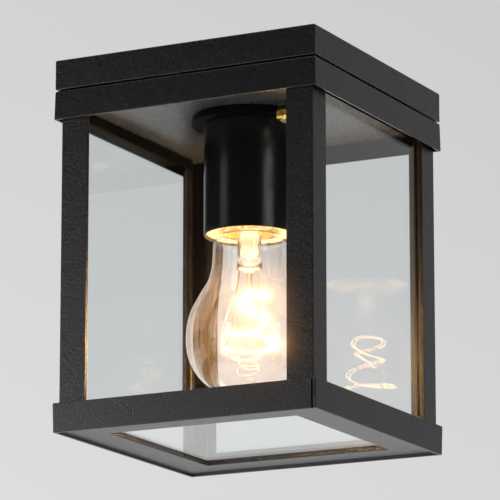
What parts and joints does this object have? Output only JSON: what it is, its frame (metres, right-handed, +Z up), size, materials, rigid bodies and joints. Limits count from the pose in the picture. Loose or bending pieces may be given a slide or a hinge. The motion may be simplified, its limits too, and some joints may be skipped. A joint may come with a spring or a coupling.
{
  "type": "porch ceiling lantern",
  "caption": "Square black porch ceiling lantern with clear glass sides, a recessed bottom ring and a filament lamp in a tubular shroud.",
  "frame": {"origin": "centre of the ceiling face of the base tray", "axes": "+Z up, out of the ceiling face into the ceiling; the lantern hangs towards -Z; X and Y run across the square housing, -Y is the front pane"},
  "size_m": [0.1406, 0.1406, 0.183],
  "materials": {
    "powder_coat": "fine textured satin powder coat",
    "rubber": "matt",
    "terminal_plastic": "moulded",
    "zinc_steel": "zinc plated",
    "black_steel": "blackened",
    "brass": "stamped",
    "polished_brass": "turned and polished",
    "wire_brown": "extruded insulation",
    "wire_blue": "extruded insulation",
    "wire_green": "extruded insulation",
    "porcelain": "cream glaze",
    "clear_glass": "clear float glass",
    "lamp_glass": "clear blown glass",
    "glazing_tape": "dark glazing tape",
    "solder": "tinned",
    "nickel_cap": "nickel plated",
    "cap_glass": "dark moulded glass",
    "filament_glow": "coiled tungsten, lit",
    "lead_wire": "drawn wire"
  },
  "bodies": {
    "housing": {"ceiling_base": "powder_coat", "cable_grommet": "rubber", "terminal_block": "terminal_plastic", "terminal_screws": "zinc_steel", "earth_lug": "brass", "earth_screw": "brass", "mounting_studs": "zinc_steel", "spacer_sleeves": "zinc_steel", "live_wire": "wire_brown", "neutral_wire": "wire_blue", "earth_wire": "wire_green", "roof_band": "powder_coat", "roof_plate": "powder_coat", "nipple": "zinc_steel", "nipple_nut": "zinc_steel", "rosette": "powder_coat", "shroud": "powder_coat", "lampholder_body": "porcelain", "thread_shell": "brass", "centre_contact": "brass", "post_front_left": "powder_coat", "post_front_right": "powder_coat", "post_back_left": "powder_coat", "post_back_right": "powder_coat", "bottom_ring": "powder_coat", "pane_front": "clear_glass", "pane_right": "clear_glass", "pane_back": "clear_glass", "pane_left": "clear_glass", "glazing_tape": "glazing_tape", "seal_washers": "rubber"},
    "loose_glass": {"bottom_glass": "clear_glass"},
    "washer_a_body": {"washer_a": "black_steel"},
    "nut_a": {"thumb_nut_a": "polished_brass"},
    "washer_b_body": {"washer_b": "black_steel"},
    "nut_b": {"thumb_nut_b": "polished_brass"},
    "lamp_tip": {"bulb_contact": "solder"},
    "lamp": {"bulb_cap": "nickel_cap", "cap_insulator": "cap_glass", "bulb_glass": "lamp_glass", "bulb_stem": "lamp_glass", "filament": "filament_glow", "lead_wires": "lead_wire"}
  },
  "joints": [
    {"name": "bottom_glass_lift", "type": "slide", "parent": "housing", "child": "loose_glass", "axis": [0, 0, 1], "range_m": [0, 0.004]},
    {"name": "nut_a_travel", "type": "slide", "parent": "housing", "child": "washer_a_body", "axis": [0, 0, -1], "range_m": [0, 0.0035]},
    {"name": "nut_a_turn", "type": "hinge", "parent": "washer_a_body", "child": "nut_a", "pos_m": [0.03, -0.0195, -0.0277], "axis": [0, 0, -1], "range_deg": [0, 1800]},
    {"name": "nut_b_travel", "type": "slide", "parent": "housing", "child": "washer_b_body", "axis": [0, 0, -1], "range_m": [0, 0.0035]},
    {"name": "nut_b_turn", "type": "hinge", "parent": "washer_b_body", "child": "nut_b", "pos_m": [-0.03, 0.0195, -0.0277], "axis": [0, 0, -1], "range_deg": [0, 1800]},
    {"name": "lamp_travel", "type": "slide", "parent": "housing", "child": "lamp_tip", "axis": [0, 0, -1], "range_m": [0, 0.01089]},
    {"name": "lamp_turn", "type": "hinge", "parent": "lamp_tip", "child": "lamp", "pos_m": [0, 0, -0.0797], "axis": [0, 0, -1], "range_deg": [0, 1080]}
  ],
  "couplings": [
    {"joint": "nut_a_turn", "follows": "nut_a_travel", "rad_per_m": 8976},
    {"joint": "nut_b_turn", "follows": "nut_b_travel", "rad_per_m": 8976},
    {"joint": "lamp_travel", "follows": "lamp_turn", "m_per_rad": 0.00057757}
  ]
}
